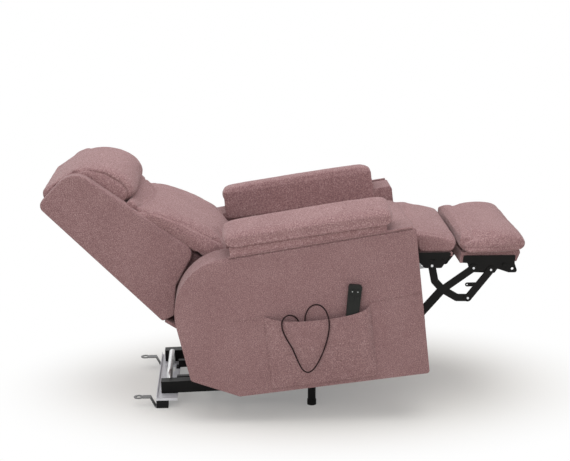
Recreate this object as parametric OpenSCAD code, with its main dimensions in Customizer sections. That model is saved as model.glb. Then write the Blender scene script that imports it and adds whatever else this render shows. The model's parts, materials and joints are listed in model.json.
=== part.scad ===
// Lift recliner chair, shown with the back reclined, the footrest out and the body tilted back.
// Millimetres. X runs across the chair, the sitter faces -Y, Z is up and the floor is Z = 0.
// A point [forward, up] belongs to the side view; each moving group is drawn in its own frame.

/* [Chair body] */
// Clear width between the two arm boxes
seat_gap = 530; // [500:5:620]
// Width of one arm box
arm_width = 135; // [110:5:160]
// Front edge of the arm boxes, forward of the body datum
arm_front = 692; // [685:1:710]
// Underside of the arm boxes above the body datum
arm_bottom = 96; // [90:1:100]
// Top of the arm boxes at the front
arm_top = 604; // [598:1:608]
// Rounding along the outer top edge of the arm boxes
arm_round = 12; // [8:1:20]
// Thickness of the boards of the arm boxes
board_t = 15; // [10:1:20]
// How far the arm pads stand past the outer face of the arm boxes
pad_overhang = 10; // [4:1:14]
// Tilt of the whole body, backwards
body_tilt = 6.6; // [6:0.1:7]
// Recline of the back against the body
back_recline = 38.6; // [38:0.1:39.5]

/* [Back and cushions] */
// Half width of the back over its side wings
back_half = 255; // [235:1:258]
// Thickness of a side wing
wing_t = 43; // [30:1:60]
// Length of the back above its hinge
back_length = 650; // [640:1:670]
// Thickness of the back's rear panel
rear_panel_t = 16; // [8:1:18]
// Thickness of the wooden back frame
back_frame_t = 20; // [12:1:24]
// Running gap between a soft form and what it rests on
soft_gap = 0.5; // [0.3:0.1:1]
// Height of the seat cushion
seat_cushion_h = 102; // [80:1:106]

/* [Steel] */
// Wall of the steel tubes
tube_wall = 2; // [1.5:0.5:3]
// Diameter of the cross tubes in the body
cross_d = 25; // [22:1:28]
// Thickness of the side plates
side_plate_t = 4; // [3:0.5:5]
// Thickness of the footrest links
link_t = 3; // [2:0.5:3.5]
// Gap between neighbouring footrest links
link_gap = 1; // [0.5:0.1:1.5]
// Width of the footrest links
link_w = 26; // [22:1:28]
// Diameter of the rivets of the footrest links
rivet_d = 8; // [6:0.5:10]
// Radial running clearance of pins and tubes
fit_gap = 0.05; // [0.02:0.01:0.1]
// Thickness of the lift links
lift_link_t = 6; // [5:0.5:7]
// Width of the lift links
lift_link_w = 26; // [22:1:28]
// Diameter of the lift link pins
lift_pin_d = 12; // [10:1:14]

/* [Base] */
// Distance between the centre lines of the two base rails
base_track = 340; // [330:2:350]
// Distance between the centre lines of the feet
foot_track = 430; // [420:2:440]
// Width of a base rail
rail_w = 40; // [34:1:42]
// Height of a base rail
rail_h = 42; // [38:1:44]
// Underside of the base rails above the floor
rail_bottom = 46; // [40:1:50]
// Slope of the base rails, up towards the front
rail_slope = 1.9; // [1.5:0.1:2.2]
// Front end of the base rails
rail_front = 335; // [332:1:350]
// Rear end of the base rails
rail_rear = -232; // [-240:1:-225]
// Height of the rear foot blocks
foot_block_h = 28; // [24:1:30]
// Diameter of the front feet
foot_post_d = 28; // [24:1:34]

/* [Actuators] */
// Diameter of the actuator rods
rod_d = 18; // [14:1:20]
// Diameter of the actuator outer tubes
barrel_d = 34; // [30:1:38]
// Diameter of the actuator pins
drive_pin_d = 10; // [8:1:12]
// Diameter of the actuator motors
motor_d = 44; // [36:1:46]

/* [Handset] */
// Width of the handset
handset_w = 45; // [40:1:50]
// Length of the handset
handset_l = 160; // [150:1:165]
// Thickness of the handset
handset_t = 18; // [14:1:19]
// Play of the handset in the pocket
pocket_play = 3; // [3:0.5:6]
// Thickness of the pocket cloth
pocket_t = 3; // [2:0.5:4]
// Diameter of the handset cord
cord_d = 5; // [4:0.5:5.5]

/* [Hidden] */
$fn = 48;
arc_step = 8;
// Middle of the whole chair, forward of the body datum
datum = 200;
side_in = seat_gap / 2;
side_out = side_in + arm_width;
base_half = base_track / 2;
rail_in = base_half - rail_w / 2;
rail_top = rail_bottom + rail_h;
rail_out = rail_in + rail_w;
foot_half = foot_track / 2;
foot_post = 290;

// Side plates and footrest links, from the arm boxes inwards
side_x = side_in - side_plate_t;
mid_x = side_x - 8 - link_t;
upper_x = mid_x - link_gap - link_t;
lower_x = upper_x - link_gap - link_t;

// Base pivots, in the base frame
lift_base = [270, 72];
stay_base = [285.1, 68.5];
lift_drive_base = [259, 100];
front_tube = [rail_front - 14, rail_bottom + 19];

// Body pivots, in the body frame
lift_top = [-10, 127];
stay_top = [53, 107];
hanger_tube = [60, 160];
lift_drive_top = [280, 329];
lift_drive_tube = [280, 357];
back_drive_base = [420, 190];
back_drive_tube = [450, 182];
foot_drive_base = [190, 395];
foot_drive_tube = [158, 395];
back_hinge = [0, 403];
back_drive_tip = [40, 273];
mid_hinge = [678, 478];

// Footrest linkage, in the body frame with the footrest out
mid_pin = [751, 425];
cross_pin = [780, 335];
rail_rear_pin = [893, 398];
knee_pin = [864, 294];
rail_front_pin = [952, 384];
guide_pin = [690, 252];
guide_centre = mid_hinge + [-7.4, 1.2];
guide_r = norm(guide_pin - guide_centre);
roller_d = 16;
roller_gap = 0.8;
slot_w = roller_d + 2 * roller_gap;
lever_r = 85;
lever_tip = mid_hinge + lever_r * [cos(45), -sin(45)];

// Lanes of the three actuators across the chair
lift_lane = 0;
foot_lane = -110;
back_lane = 80;
blade_t = 8;
lever_t = 5;
lever_gap = 1;
motor_side = 50;
eye_w = 16;

// Seat
deck_bottom = 440;
deck_t = 28;
deck_half = 210;
deck_rear = 168;
deck_front = 612;
seat_base = deck_bottom + deck_t + soft_gap;

// Handset, hanging from the top of its centre line in the body frame
handset_top = [474, 439];
handset_lean = 12;
handset_x = -side_out - 2 - handset_t;
pocket_depth = handset_t + pocket_play;
pocket_rear = 160;
pocket_front = 514;
pocket_foot = 110;

// Route of the handset cord: [across, forward, up] in the body frame
CORD = [
    [-411, 438, 269], [-411, 435, 257], [-410, 431, 238], [-408, 416, 216], [-407, 390, 206],
    [-407, 360, 212], [-408, 332, 232], [-409, 312, 262], [-411, 300, 296], [-413, 294, 328],
    [-415, 298, 356], [-418, 311, 379], [-423, 330, 391], [-428, 350, 388], [-432, 365, 370],
    [-432, 372, 342], [-432, 371, 310], [-432, 360, 270], [-431, 341, 226], [-430, 318, 188],
    [-429, 298, 167], [-429, 281, 163], [-430, 266, 177], [-431, 254, 210], [-432, 242, 252],
    [-432, 227, 287], [-432, 217, 320], [-430, 217, 344], [-426, 226, 359], [-421, 240, 365],
    [-415, 256, 360], [-410, 269, 346], [-408, 277, 322], [-407, 281, 294], [-406, 282, 268],
    [-406, 282, 250]
];

// ---- Frames ----

// A side-view point as a point in space
function at(p) = [0, -p[0], p[1]];

// The base stands level on the floor
module in_base() {
    translate([0, datum, 0]) children();
}

module in_body() {
    in_base() rotate([-body_tilt, 0, 0]) children();
}

module in_back() {
    in_body() translate(at(back_hinge)) rotate([-back_recline, 0, 0]) children();
}

// The base rails slope up towards the front
module in_rails() {
    in_base() rotate([-rail_slope, 0, 0]) children();
}

// Where a body point lies in the base frame
function to_base(p) = [
    cos(body_tilt) * p[0] - sin(body_tilt) * p[1],
    sin(body_tilt) * p[0] + cos(body_tilt) * p[1]
];

// Where a body point lies in the back frame
function to_back(p) = let (d = p - back_hinge) [
    cos(back_recline) * d[0] + sin(back_recline) * d[1],
    -sin(back_recline) * d[0] + cos(back_recline) * d[1]
];

// ---- Outlines ----

function unit(v) = v / norm(v);
function flat(p) = [p[0], p[1]];

// Points of one rounded corner; each corner is [forward, up, radius]
function corner(before, here, after) =
    let (
        u = unit(flat(before) - flat(here)),
        v = unit(flat(after) - flat(here)),
        half = acos(u * v) / 2,
        centre = flat(here) + unit(u + v) * here[2] / sin(half),
        start = flat(here) + u * here[2] / tan(half) - centre,
        turn = (180 - 2 * half) * (cross(u, v) < 0 ? 1 : -1),
        steps = max(2, ceil(abs(turn) / arc_step)),
        from = atan2(start[1], start[0])
    )
    here[2] == 0 ? [flat(here)] :
    [for (i = [0:steps]) centre + here[2] * [cos(from + turn * i / steps), sin(from + turn * i / steps)]];

function rounded(corners) =
    let (n = len(corners))
    [for (i = [0:n - 1]) each corner(corners[(i + n - 1) % n], corners[i], corners[(i + 1) % n])];

// One point of the curve through b and c, a share t of the way along
function curve(a, b, c, d, t) =
    0.5 * (2 * b + (c - a) * t + (2 * a - 5 * b + 4 * c - d) * t * t + (3 * b - a - 3 * c + d) * t * t * t);

// Smooth closed curve through all points, k steps between neighbours
function closed_curve(p, k) =
    let (n = len(p))
    [for (i = [0:n - 1], j = [0:k - 1])
        curve(p[(i + n - 1) % n], p[i], p[(i + 1) % n], p[(i + 2) % n], j / k)];

// Smooth open curve through all points
function open_curve(p, k) =
    let (n = len(p))
    concat([for (i = [0:n - 2], j = [0:k - 1])
        curve(p[max(i - 1, 0)], p[i], p[i + 1], p[min(i + 2, n - 1)], j / k)], [p[n - 1]]);

// Edge points where a flat bar bends: round on the outside, mitred on the inside
function bend(p, a, b, w, outside) = outside
    ? [for (j = [0:4]) p + w / 2 * unit(a * (4 - j) / 4 + b * j / 4)]
    : [p + w / 2 * (a + b) / (1 + a * b)];

// Outline of a flat bar with round ends along side-view points
function strip(p, w, k = 12) =
    let (
        n = len(p) - 1,
        run = [for (i = [0:n - 1]) unit(p[i + 1] - p[i])],
        side = [for (r = run) [-r[1], r[0]]],
        first = atan2(run[0][1], run[0][0]),
        last = atan2(run[n - 1][1], run[n - 1][0])
    )
    concat(
        [for (t = [0:k]) p[0] + w / 2 * [cos(first + 90 + 180 * t / k), sin(first + 90 + 180 * t / k)]],
        [for (i = [1:1:n - 1]) each bend(p[i], -side[i - 1], -side[i], w, cross(run[i - 1], run[i]) > 0)],
        [for (t = [0:k]) p[n] + w / 2 * [cos(last - 90 + 180 * t / k), sin(last - 90 + 180 * t / k)]],
        [for (i = [n - 1:-1:1]) each bend(p[i], side[i], side[i - 1], w, cross(run[i - 1], run[i]) < 0)]
    );

module bar(p, q, w) {
    polygon(strip([p, q], w));
}

module disc(p, d) {
    translate(p) circle(d = d);
}

// ---- Solids ----

module both_sides() {
    children();
    mirror([1, 0, 0]) children();
}

// Plate cut to a side-view outline, from x to x + t
module plate(x, t) {
    translate([x + t, 0, 0]) rotate([90, 0, -90]) linear_extrude(t) children();
}

// Round bar along x
module pin(p, d, x0, x1) {
    translate([x0, -p[0], p[1]]) rotate([0, 90, 0]) cylinder(d = d, h = x1 - x0);
}

module tube(p, d, x0, x1) {
    difference() {
        pin(p, d, x0, x1);
        pin(p, d - 2 * tube_wall, x0 - 1, x1 + 1);
    }
}

// Square-edged bar between two corners [x, forward, up]
module block(low, high) {
    translate([low[0], -high[1], low[2]])
        cube([high[0] - low[0], high[1] - low[1], high[2] - low[2]]);
}

// Frame with its origin at p and its Z axis towards q
module along(p, q) {
    run = q - p;
    translate(at(p)) rotate([atan2(run[0], run[1]), 0, 0]) children();
}

// Padded form: a side-view outline across x, full in the middle and drawn in at both ends.
// It is drawn towards the seat point, so the face that rests there stays flat.
module padding(outline, seat, half, x = 0, draw = [14, 14], crown = 3, rings = 12, slope = 0, cant = 0) {
    n = len(outline);
    function off(p) = p[1] - seat[1] - slope * (p[0] - seat[0]);
    span = [max([for (p = outline) abs(p[0] - seat[0])]), max([for (p = outline) abs(off(p))])];
    stations = [for (i = [0:rings]) sin(-90 + 180 * i / rings)];
    function drawn(s) = 1 - sqrt(max(0, 1 - pow(abs(s), crown)));
    function place(p, k, s) =
        let (run = (p[0] - seat[0]) * (1 - k * draw[0] / span[0]), high = 1 - cant * (1 + s) / 2)
        seat + [run, slope * run + off(p) * (1 - k * draw[1] / span[1]) * high];
    skin = [for (s = stations, p = outline)
        let (q = place(p, drawn(s), s)) [x + half * s, -q[0], q[1]]];
    last = len(skin);
    caps = [for (s = [-1, 1])
        let (q = place([for (p = outline) 1] * outline / n, 1, s)) [x + half * s, -q[0], q[1]]];
    sides = [for (i = [0:rings - 1], j = [0:n - 1])
        let (a = i * n + j, b = i * n + (j + 1) % n)
        each [[a, b, b + n], [a, b + n, a + n]]];
    lids = [for (j = [0:n - 1])
        let (k = (j + 1) % n, top = rings * n)
        each [[last, k, j], [last + 1, top + j, top + k]]];
    polyhedron(points = concat(skin, caps), faces = concat(sides, lids), convexity = 6);
}

// Round cord along a route of points in space
module cord(route, d, sides) {
    n = len(route);
    function heading(i) = unit(route[min(i + 1, n - 1)] - route[max(i - 1, 0)]);
    function across(i) = unit(cross(heading(i), [1, 0, 0]));
    points = [for (i = [0:n - 1], j = [0:sides - 1])
        let (u = across(i), v = cross(heading(i), u), t = 360 * j / sides)
        route[i] + d / 2 * (cos(t) * u + sin(t) * v)];
    walls = [for (i = [0:n - 2], j = [0:sides - 1])
        let (a = i * sides + j, b = i * sides + (j + 1) % sides)
        each [[a, b + sides, b], [a, a + sides, b + sides]]];
    ends = [for (j = [1:sides - 2])
        let (m = (n - 1) * sides)
        each [[0, j, j + 1], [m, m + j + 1, m + j]]];
    polyhedron(points = points, faces = concat(walls, ends), convexity = 8);
}

// ---- Base ----

module base_rails() {
    post_x = foot_half;
    color("#1f2023") both_sides() {
        in_rails() {
            difference() {
                block([rail_in, rail_rear, rail_bottom], [rail_out, rail_front, rail_top]);
                block([rail_in + tube_wall, rail_rear - 1, rail_bottom + tube_wall],
                    [rail_out - tube_wall, rail_front + 1, rail_top - tube_wall]);
            }
            block([rail_out, foot_post - 16, rail_top - 30], [post_x + 16, foot_post + 16, rail_top - 4]);
        }
        in_base() translate([post_x, -foot_post, 12]) cylinder(d = foot_post_d, h = rail_top - 20);
    }
}

// Plugs in the ends of the rails
module rail_caps() {
    color("#151517") in_rails() both_sides() for (end = [[rail_rear - 4, rail_rear], [rail_front, rail_front + 4]])
        block([rail_in, end[0], rail_bottom], [rail_out, end[1], rail_top]);
}

plate_rear = rail_rear - 22;
plate_front = rail_rear + 52;
plate_top = foot_block_h + 9;

// Pressed plate under the rear ends of the rails, with two cut-outs
module rear_cross_plate() {
    half = foot_half + 20;
    color("#c9ccd0") in_base() difference() {
        union() {
            block([-half, plate_rear, foot_block_h], [half, plate_front, plate_top]);
            block([-half, plate_rear, plate_top], [half, plate_rear + 3, plate_top + 8]);
        }
        for (x = [-75, 75])
            block([x - 38, plate_rear + 24, foot_block_h - 1], [x + 38, plate_front - 18, plate_top + 1]);
    }
}

// Front cross tube, the two inner rails and the seats that carry the rear ends on the plate
module base_cross_members() {
    color("#232427") {
        in_rails() {
            difference() {
                block([-rail_in, front_tube[0] - 15, front_tube[1] - 15],
                    [rail_in, front_tube[0] + 15, front_tube[1] + 15]);
                block([-rail_in - 1, front_tube[0] - 15 + tube_wall, front_tube[1] - 15 + tube_wall],
                    [rail_in + 1, front_tube[0] + 15 - tube_wall, front_tube[1] + 15 - tube_wall]);
            }
            both_sides() block([76, rail_rear + 48, rail_bottom], [96, front_tube[0] - 15, rail_bottom + 26]);
        }
        in_base() both_sides() {
            block([rail_in + 3, plate_rear + 26, plate_top], [rail_out - 3, plate_front, plate_top + 1.2]);
            block([70, plate_front - 14, plate_top], [102, plate_front, rail_bottom - 4]);
        }
    }
}

// Bent tube over the rear plate
module rear_bow() {
    d = 20;
    bend = 30;
    leg_x = rail_in - 16;
    top = rail_top + 2;
    s = rail_rear + 22;
    color("#c6c8ca") in_base() {
        pin([s, top], d, -leg_x + bend, leg_x - bend);
        both_sides() {
            translate([leg_x - bend, -s, top - bend]) rotate([90, 0, 0])
                rotate_extrude(angle = 90) translate([bend, 0]) circle(d = d);
            translate([leg_x, -s, plate_top]) cylinder(d = d, h = top - bend - plate_top);
        }
    }
}

module rear_foot_blocks() {
    color("#18181a") in_base() both_sides()
        block([foot_half - 20, plate_rear, 0], [foot_half + 20, plate_rear + 42, foot_block_h]);
}

module front_foot_tips() {
    color("#101012") in_base() both_sides() translate([foot_half, -foot_post, 0])
        difference() {
            cylinder(d = foot_post_d + 4, h = 18);
            translate([0, 0, 12]) cylinder(d = foot_post_d, h = 7);
        }
}

// Cranked steel straps behind the rear feet, each with an eye
module floor_brackets() {
    rear = plate_rear;
    t = 3;
    color("#8d9095") in_base() both_sides() {
        plate(foot_half - 14, 28) polygon([
            [rear, 0], [rear - 4, 0], [rear - 22, 34], [rear - 48, 34], [rear - 48, 34 + t],
            [rear - 20, 34 + t], [rear - 3, 4], [rear, 4]
        ]);
        translate([foot_half, -rear + 62, 34]) difference() {
            cylinder(d = 34, h = t);
            translate([0, 0, -1]) cylinder(d = 17, h = t + 2);
            translate([-20, -24, -1]) cube([40, 10, t + 2]);
        }
    }
}

// Pins of the lift links, the inner plates of the stay links and the clevis of the lift actuator
module base_link_brackets() {
    stay_x = rail_in - 30;
    cheek = eye_w / 2 + lever_gap;
    color("#2b2c30") in_base() {
        both_sides() {
            pin(lift_base, lift_pin_d, rail_in - 16, rail_in);
            pin(stay_base, lift_pin_d, stay_x - 5, stay_x + 14);
        }
        difference() {
            union() {
                both_sides() plate(stay_x - 5, 5) bar(stay_base, [front_tube[0], stay_base[1]], 24);
                for (x = [lift_lane - cheek - lever_t, lift_lane + cheek])
                    plate(x, lever_t) bar(lift_drive_base, [front_tube[0], front_tube[1] + 14], 26);
            }
            rotate([-rail_slope, 0, 0])
                block([-rail_in, front_tube[0] - 15, 0], [rail_in, front_tube[0] + 60, 200]);
        }
        pin(lift_drive_base, drive_pin_d, lift_lane - cheek - lever_t, lift_lane + cheek + lever_t);
    }
}

// Transformer on the inner rails, with its mains inlet facing back
module power_supply() {
    s = -60;
    low = rail_bottom + 26;
    color("#242529") in_rails() difference() {
        block([-96, s - 55, low], [96, s + 55, low + 30]);
        block([-14, s - 56, low + 6], [14, s - 40, low + 24]);
    }
}

// ---- Lift linkage ----

// Bar with two bored ends, in the base frame
module lift_bar(p, q, x, t, hole_p, hole_q) {
    in_base() both_sides() plate(x, t) difference() {
        bar(p, q, lift_link_w);
        disc(p, hole_p + 2 * fit_gap);
        disc(q, hole_q + 2 * fit_gap);
    }
}

module lift_links() {
    color("#303237")
        lift_bar(lift_base, to_base(lift_top), rail_in - 12, lift_link_t, lift_pin_d, 18);
}

module stay_links() {
    color("#303237")
        lift_bar(stay_base, to_base(stay_top), rail_in - 24, lift_link_t, lift_pin_d, lift_pin_d + 1.2);
}

// ---- Actuators: each runs along Z from its fixed eye ----

// Eye, gearbox, motor and bored outer tube; the motor sits on one side
module actuator_housing(barrel_end, bore_start, side) {
    box = 28;
    difference() {
        union() {
            translate([-eye_w / 2, 0, 0]) rotate([0, 90, 0]) cylinder(d = 24, h = eye_w);
            translate([-eye_w / 2, -11, 0]) cube([eye_w, 22, box]);
            translate([side > 0 ? -28 : -28 - motor_side + 4, -27, box])
                cube([56 + motor_side - 4, 54, 58]);
            translate([0, 0, box]) cylinder(d = barrel_d, h = barrel_end - box);
            translate([side * motor_side, 0, box + 58]) cylinder(d = motor_d, h = 86);
        }
        translate([-eye_w, 0, 0]) rotate([0, 90, 0]) cylinder(d = drive_pin_d + 2 * fit_gap, h = 2 * eye_w);
        translate([0, 0, bore_start]) cylinder(d = rod_d + 2 * fit_gap, h = barrel_end);
    }
}

// Rod with a flat blade; its slot runs from low to high across the rod, and is loose by play along it
module actuator_rod(start, end, low, high, play) {
    slot = drive_pin_d + 2 * play;
    edge = 13;
    difference() {
        union() {
            translate([0, 0, start]) cylinder(d = rod_d, h = end - 40 - start);
            translate([-blade_t / 2, min(low - edge, -rod_d / 2), end - 44])
                cube([blade_t, max(high + edge, rod_d / 2) - min(low - edge, -rod_d / 2), 44 + edge]);
        }
        for (y = [low, high])
            translate([-blade_t, y, end]) rotate([0, 90, 0]) cylinder(d = slot, h = 2 * blade_t);
        translate([-blade_t, low, end - slot / 2]) cube([2 * blade_t, high - low, slot]);
    }
}

// Two cheeks that hold an actuator eye in front of or below a cross tube
module clevis(p, carrier, lane, width) {
    for (x = [lane - width / 2 - lever_gap - lever_t, lane + width / 2 + lever_gap])
        plate(x, lever_t) difference() {
            bar(p, carrier, 26);
            disc(carrier, cross_d - tube_wall);
        }
    pin(p, drive_pin_d, lane - width / 2 - lever_gap - lever_t, lane + width / 2 + lever_gap + lever_t);
}

lift_run = norm(to_base(lift_drive_top) - lift_drive_base);
back_run = norm(back_drive_tip - back_drive_base);
foot_run = norm(lever_tip - foot_drive_base);

module lift_motor() {
    color("#3a3c41") in_base() along(lift_drive_base, to_base(lift_drive_top))
        translate([lift_lane, 0, 0]) actuator_housing(lift_run - 48, 64, -1);
}

module lift_rod() {
    color("#b9bcc1") in_base() along(lift_drive_base, to_base(lift_drive_top))
        translate([lift_lane, 0, 0]) actuator_rod(70, lift_run, -0.1, 0.1, 0.4);
}

module back_motor() {
    color("#3a3c41") in_body() along(back_drive_base, back_drive_tip)
        translate([back_lane, 0, 0]) actuator_housing(back_run - 48, 120, 1);
}

module back_rod() {
    color("#b9bcc1") in_body() along(back_drive_base, back_drive_tip)
        translate([back_lane, 0, 0]) actuator_rod(back_run - 150, back_run, -0.3, 4.6, 1.1);
}

module foot_motor() {
    color("#3a3c41") in_body() along(foot_drive_base, lever_tip)
        translate([foot_lane, 0, 0]) actuator_housing(foot_run - 172, 100, -1);
}

module foot_rod() {
    color("#b9bcc1") in_body() along(foot_drive_base, lever_tip)
        translate([foot_lane, 0, 0]) actuator_rod(foot_run - 300, foot_run, -25.6, 0.3, 3);
}

// ---- Body ----

// Tubes between the arm boxes with their flanges, the stay hangers and the actuator clevises
module cross_tubes() {
    color("#26272b") in_body() {
        for (p = [hanger_tube, lift_drive_tube, back_drive_tube, foot_drive_tube]) {
            tube(p, cross_d, -side_x, side_x);
        }
        for (p = [hanger_tube, lift_drive_tube, back_drive_tube])
            both_sides() pin(p, cross_d + 24, side_x, side_in);
        tube(lift_top, 18, -side_x, side_x);
        both_sides() {
            pin(lift_top, 18 + 20, side_x, side_in);
            plate(rail_in - 36, lift_link_t) difference() {
                bar(stay_top, hanger_tube, 24);
                disc(hanger_tube, cross_d - tube_wall);
            }
            pin(stay_top, lift_pin_d, rail_in - 36, rail_in - 17);
        }
        clevis(lift_drive_top, lift_drive_tube, lift_lane, blade_t);
        clevis(back_drive_base, back_drive_tube, back_lane, eye_w);
        clevis(foot_drive_base, foot_drive_tube, foot_lane, eye_w);
    }
}

// Curved slot in which the guide rollers run
module guide_slot() {
    from = atan2(guide_pin[1] - guide_centre[1], guide_pin[0] - guide_centre[0]) + 2.5;
    sweep = 83.4;
    steps = 24;
    function ray(i) = let (t = from - sweep * i / steps) [cos(t), sin(t)];
    polygon(concat(
        [for (i = [0:steps]) guide_centre + (guide_r - slot_w / 2) * ray(i)],
        [for (i = [steps:-1:0]) guide_centre + (guide_r + slot_w / 2) * ray(i)]));
}

// Steel plates on the arm boxes: back hinge at the rear, footrest hinge and guide slot at the front
module side_plates() {
    color("#2a2b2f") in_body() both_sides() {
        plate(side_x, side_plate_t) difference() {
            polygon(rounded([
                [-30, 372, 12], [-30, 434, 12], [500, 458, 0], [640, 502, 20], [704, 502, 14],
                [704, 455, 10], [708, 285, 20], [708, 222, 14], [640, 214, 40], [520, 252, 60],
                [430, 372, 30], [300, 390, 30]
            ]));
            disc(back_hinge, back_pin_d + 2 * fit_gap);
            disc(mid_hinge, cross_d + 2 * fit_gap);
            guide_slot();
        }
        for (a = [200, 380])
            block([deck_half, a, deck_bottom - 4], [side_x, a + 40, deck_bottom]);
    }
}

// Fall of the top of the arm boxes from front to rear
arm_fall = 35;

// Outline of an arm box, drawn in by the wall all round but open below when inset
function arm_outline(inset) = [
    [48 + inset * 0.6, arm_bottom + (inset > 0 ? -20 : 0), inset > 0 ? 0 : 15],
    [arm_front - inset, arm_bottom + (inset > 0 ? -20 : 0), inset > 0 ? 0 : 10],
    [arm_front - inset, arm_top - inset, 12 - inset * 0.4],
    [-158 + inset, arm_top - arm_fall - inset, 190 - inset],
    [-108 + inset, 172 + inset * 0.4, 15 - inset * 0.4]
];
arm_rise_angle = atan2(arm_fall, arm_front + 158);

// Closed above by a double board, so the outer edge can be rounded
module arm_box() {
    corner_x = side_out - arm_round;
    difference() {
        plate(side_in, arm_width) polygon(rounded(arm_outline(0)));
        intersection() {
            plate(side_in + board_t, arm_width - 2 * board_t) polygon(rounded(arm_outline(board_t)));
            translate(at([arm_front, arm_top - 2 * board_t])) rotate([-arm_rise_angle, 0, 0])
                translate([side_in, -100, -900]) cube([arm_width, 1100, 900]);
        }
        translate(at([arm_front, arm_top])) rotate([-arm_rise_angle, 0, 0]) translate([0, 1000, 0])
            rotate([90, 0, 0]) linear_extrude(1100) difference() {
                translate([corner_x, -arm_round]) square([arm_round + 1, arm_round + 1]);
                translate([corner_x, -arm_round]) circle(r = arm_round);
            }
    }
}

module left_arm_box() {
    color("#a27d80") in_body() arm_box();
}

module right_arm_box() {
    color("#a27d80") in_body() mirror([1, 0, 0]) arm_box();
}

// Top edge of the arm boxes
function arm_rise(a) = arm_top - arm_fall + (a + 158) * arm_fall / (arm_front + 158);
strip_rear_h = 35;
strip_front_h = 25;
strip_gap = 0.06;
function pad_seat(a) = arm_rise(a) + strip_rear_h + (strip_front_h - strip_rear_h) * (a - 70) / 530;

// Recessed band between each arm box and its pad, and the lining down the inner side
module arm_strips() {
    lining = side_in - 8;
    color("#b48f91") in_body() both_sides() {
        plate(side_in - 0.3, arm_width - 6) polygon([
            [75, arm_rise(75) + strip_gap], [598, arm_rise(598) + strip_gap],
            [598, pad_seat(598)], [75, pad_seat(75)]
        ]);
        plate(lining, side_in - 0.3 - lining) polygon([
            [68, 562], [624, 575], [626, pad_seat(626) - 4], [66, pad_seat(66) - 4]
        ]);
    }
}

// Side outline of an arm pad along its inner edge; it falls away outwards, and its lower edge follows the band
function arm_pad_outline() =
    let (
        edge = [90, 200, 330, 460, 590],
        low = [for (a = edge) [a, pad_seat(a) + soft_gap]]
    )
    closed_curve(concat(low, [
        [612, pad_seat(610) + 4], [621, 645], [619, 680], [606, 696], [570, 700], [464, 698],
        [350, 694], [240, 689], [140, 684], [84, 679], [65, 671], [58, 655], [59, 632], [70, pad_seat(70) + 6]
    ]), 2);

module arm_pad() {
    inner = side_in - 5;
    outer = side_out + pad_overhang;
    padding(arm_pad_outline(), [340, pad_seat(340) + soft_gap], (outer - inner) / 2, (outer + inner) / 2,
        [12, 18], 5, slope = (pad_seat(590) - pad_seat(90)) / 500, cant = 0.4);
}

module left_arm_pad() {
    color("#ab8688") in_body() arm_pad();
}

module right_arm_pad() {
    color("#ab8688") in_body() mirror([1, 0, 0]) arm_pad();
}

// ---- Pocket and handset ----

// Mouth of the pocket, which sags between its two seams
pocket_mouth = [[160, 366], [200, 352], [250, 343], [303, 338], [380, 336], [450, 341], [490, 350], [514, 358]];

// Depth of the pocket along its mouth, inside the cloth
function pocket_plan(t) = [
    [-side_out + 1, pocket_rear + t], [-side_out - 8 + t * 0.5, pocket_rear + 12 + t],
    [-side_out - pocket_depth * 0.75 - 3 + t, 240], [-side_out - pocket_depth - 3 + t, 330],
    [-side_out - pocket_depth - 3 + t, pocket_front - 26], [-side_out - 14 + t, pocket_front - 5 - t],
    [-side_out + 1, pocket_front - t]
];

// Side of the pocket seen from the front: it opens upwards
function pocket_rise(t) = [
    [side_out - 1, pocket_foot + 2 * t], [side_out + pocket_t + 1 - t, pocket_foot + 2 * t],
    [side_out + pocket_depth + 3 - t, 252], [side_out + pocket_depth + 3 - t, 380], [side_out - 1, 380]
];

module pocket_form(t) {
    intersection() {
        translate([0, -pocket_rear, 0]) rotate([90, 0, 0]) linear_extrude(pocket_front - pocket_rear)
            polygon([for (p = pocket_rise(t)) [-p[0], p[1]]]);
        translate([0, 0, pocket_foot]) linear_extrude(300)
            polygon([for (p = pocket_plan(t)) [p[0], -p[1]]]);
    }
}

// Cloth pouch on the right arm box, open at the top and closed behind by the box
module pocket() {
    color("#a27d80") in_body() intersection() {
        difference() {
            pocket_form(0);
            pocket_form(pocket_t);
            plate(-side_out, 20) square([900, 600]);
        }
        plate(-side_out - pocket_depth - 5, pocket_depth + 5)
            polygon(concat(pocket_mouth, [[520, 358], [520, 100], [150, 100], [150, 366]]));
    }
}

// Handset frame: origin at the top of the handset, Z up along it, front face towards -X
module in_handset() {
    in_body() translate([handset_x, -handset_top[0], handset_top[1]]) rotate([handset_lean, 0, 0]) children();
}

handset_split = handset_t * 0.55;

module handset_outline() {
    polygon(rounded([
        [-handset_w / 2, 0, 8], [handset_w / 2, 0, 8], [handset_w / 2 - 3, -handset_l, 9],
        [-handset_w / 2 + 3, -handset_l, 9]
    ]));
}

module handset_back() {
    color("#2e3331") in_handset() plate(handset_split, handset_t - handset_split) handset_outline();
}

// Places of the buttons down the handset: [forward, up]
button_w = 12;
button_h = 15;
button_places = [[-9, -22], [9, -22], [-9, -44], [9, -44]];
button_travel = 1.2;

module handset_front() {
    color("#353b38") in_handset() difference() {
        plate(0, handset_split) handset_outline();
        for (p = button_places)
            plate(-1, 5.5) translate(p - [button_w, button_h] / 2 - [0.3, 0.3])
                square([button_w + 0.6, button_h + 0.6]);
    }
}

// One key: it stands 1.5 mm out of the front and has room to travel behind it
module button(i) {
    color("#55605b") in_handset() plate(-1.5, 4.5) translate(button_places[i] - [button_w, button_h] / 2)
        square([button_w, button_h]);
}

module button_raise() {
    button(0);
}

module button_lower() {
    button(1);
}

module button_recline() {
    button(2);
}

module button_upright() {
    button(3);
}

// Strain relief under the handset
gland_l = 13.6;

module handset_gland() {
    color("#1b1c1e") in_handset() translate([handset_t / 2, 0, -handset_l - gland_l])
        cylinder(d1 = cord_d + 3, d2 = 10, h = gland_l);
}

module handset_cord() {
    route = [for (p = open_curve(CORD, 2)) [p[0] - side_out + 400, -p[1], p[2]]];
    color("#3a2226") in_body() cord(route, cord_d, 8);
}

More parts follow.
